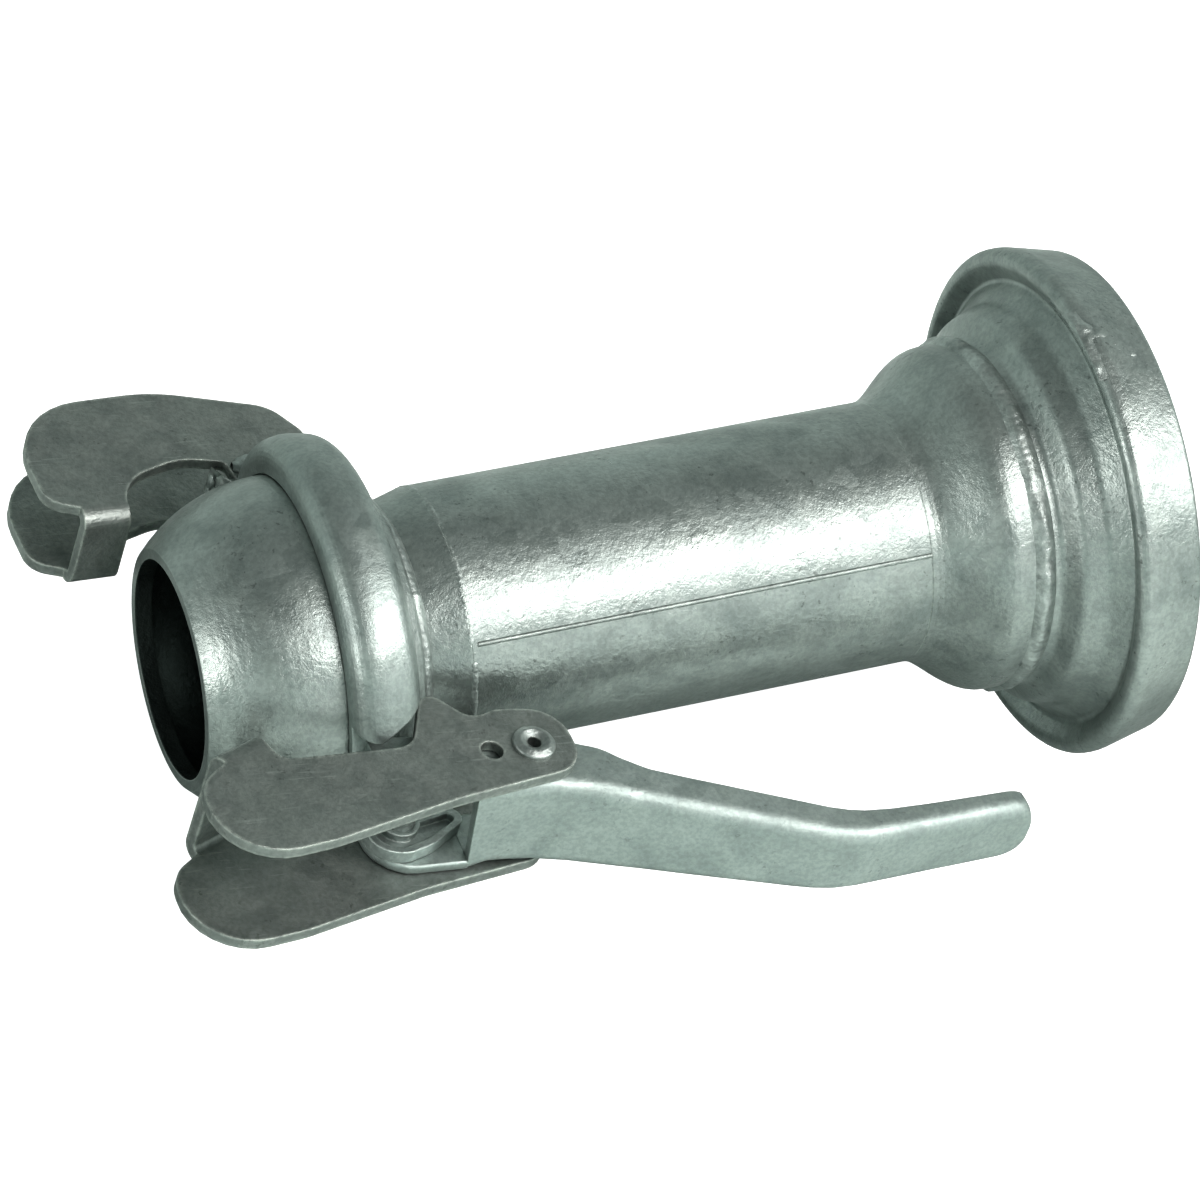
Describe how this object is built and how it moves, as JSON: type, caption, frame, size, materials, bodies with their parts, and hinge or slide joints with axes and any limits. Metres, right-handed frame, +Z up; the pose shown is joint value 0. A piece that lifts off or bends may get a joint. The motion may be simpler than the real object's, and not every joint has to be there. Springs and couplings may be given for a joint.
{
  "type": "lever-lock ball-and-socket quick coupling reducer",
  "caption": "Galvanised steel pipe reducer with a ball end, a loose lever-lock closure ring with hooks, and a larger flared socket bell with a rubber seal.",
  "frame": {"origin": "centre of the mouth face of the ball end, on the pipe axis", "axes": "+X along the pipe axis from the ball end to the socket bell, +Y to the fixed hook, -Y to the lever, +Z up"},
  "size_m": [0.3601, 0.2222, 0.1746],
  "materials": {
    "zinc_pipe": "hot-dip galvanised, cloudy spangle",
    "zinc_weld": "galvanised weld bead",
    "zinc_ring": "galvanised pressing, satin",
    "zinc_hook": "galvanised pressing, dull dark grey with bright edges",
    "zinc_lug": "galvanised, bright",
    "zinc_lever": "galvanised pressing, satin",
    "zinc_pin": "galvanised rivet steel",
    "seal": "moulded black rubber"
  },
  "bodies": {
    "pipe": {"ball_nose": "zinc_pipe", "neck": "zinc_pipe", "ball_weld": "zinc_weld", "front_girth_weld": "zinc_weld", "tube": "zinc_pipe", "tube_seam_weld": "zinc_weld", "flare": "zinc_pipe", "rear_girth_weld": "zinc_weld", "socket_bell": "zinc_pipe", "seal_ring": "seal"},
    "ring": {"closure_ring": "zinc_ring", "fixed_hook": "zinc_hook", "fixed_hook_welds": "zinc_weld", "lug_bracket": "zinc_ring", "lug_plates": "zinc_lug", "lug_welds": "zinc_weld"},
    "lever": {"lever": "zinc_lever", "fulcrum_pin": "zinc_pin"},
    "hook": {"swing_hook": "zinc_hook", "hook_rivets": "zinc_pin"}
  },
  "joints": [
    {"name": "ring_spin", "type": "hinge", "parent": "pipe", "child": "ring", "pos_m": [0.052, 0, 0], "axis": [1, 0, 0], "continuous": true},
    {"name": "lever_open", "type": "hinge", "parent": "ring", "child": "lever", "pos_m": [0.05596, -0.0715, -0.00059], "axis": [-0.1478, 0, -0.989], "range_deg": [0, 135]},
    {"name": "hook_swing", "type": "hinge", "parent": "lever", "child": "hook", "pos_m": [0.09275, -0.0738, -0.00609], "axis": [-0.1478, 0, -0.989], "range_deg": [-135, 0]}
  ],
  "couplings": [
    {"joint": "hook_swing", "follows": "lever_open", "ratio": -1}
  ]
}
